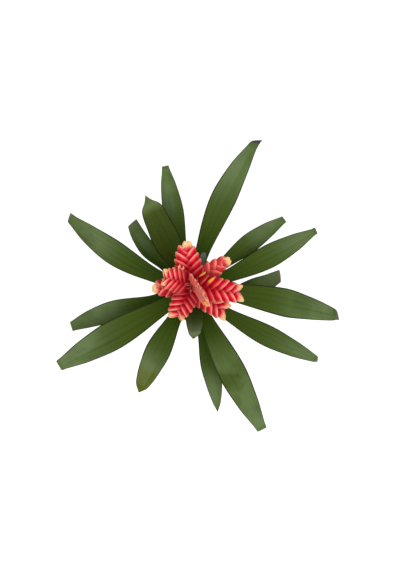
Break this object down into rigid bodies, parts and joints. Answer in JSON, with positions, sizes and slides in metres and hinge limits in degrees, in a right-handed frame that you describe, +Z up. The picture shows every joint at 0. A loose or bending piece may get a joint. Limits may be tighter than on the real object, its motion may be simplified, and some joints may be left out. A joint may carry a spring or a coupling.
{
  "type": "potted bromeliad",
  "caption": "Potted flowering rosette plant: arching strap leaves round a stalk that carries flat, feather-shaped red flower spikes, in a plain round pot.",
  "frame": {"origin": "middle of the pot's flat underside", "axes": "+Z up along the pot's axis; +Y is the side that the flower stalk leans to"},
  "size_m": [0.4923, 0.5062, 0.4972],
  "materials": {
    "pot": "satin dark grey",
    "soil": "crumbly bark and peat mix",
    "crown": "dull green",
    "leaf": "smooth, half glossy dark green",
    "scape": "green flushed with red",
    "scape_bract": "red-green",
    "spike": "waxy red with pale edges",
    "bud": "waxy yellow"
  },
  "bodies": {
    "root": {"pot": "pot", "soil": "soil", "crown": "crown", "leaf_01": "leaf", "leaf_02": "leaf", "leaf_03": "leaf", "leaf_04": "leaf", "leaf_05": "leaf", "leaf_06": "leaf", "leaf_07": "leaf", "leaf_08": "leaf", "leaf_09": "leaf", "leaf_10": "leaf", "leaf_11": "leaf", "leaf_12": "leaf", "leaf_13": "leaf", "leaf_14": "leaf", "leaf_15": "leaf", "leaf_16": "leaf", "leaf_17": "leaf", "scape": "scape", "scape_bract_1": "scape_bract", "scape_bract_2": "scape_bract", "scape_bract_3": "scape_bract", "scape_bract_4": "scape_bract", "spike_top": "spike", "spike_north": "spike", "spike_northeast": "spike", "spike_east": "spike", "spike_southeast": "spike", "spike_southwest": "spike", "spike_west_upper": "spike", "spike_west_lower": "spike", "bud_top": "bud", "bud_north": "bud", "bud_east": "bud"}
  },
  "joints": []
}
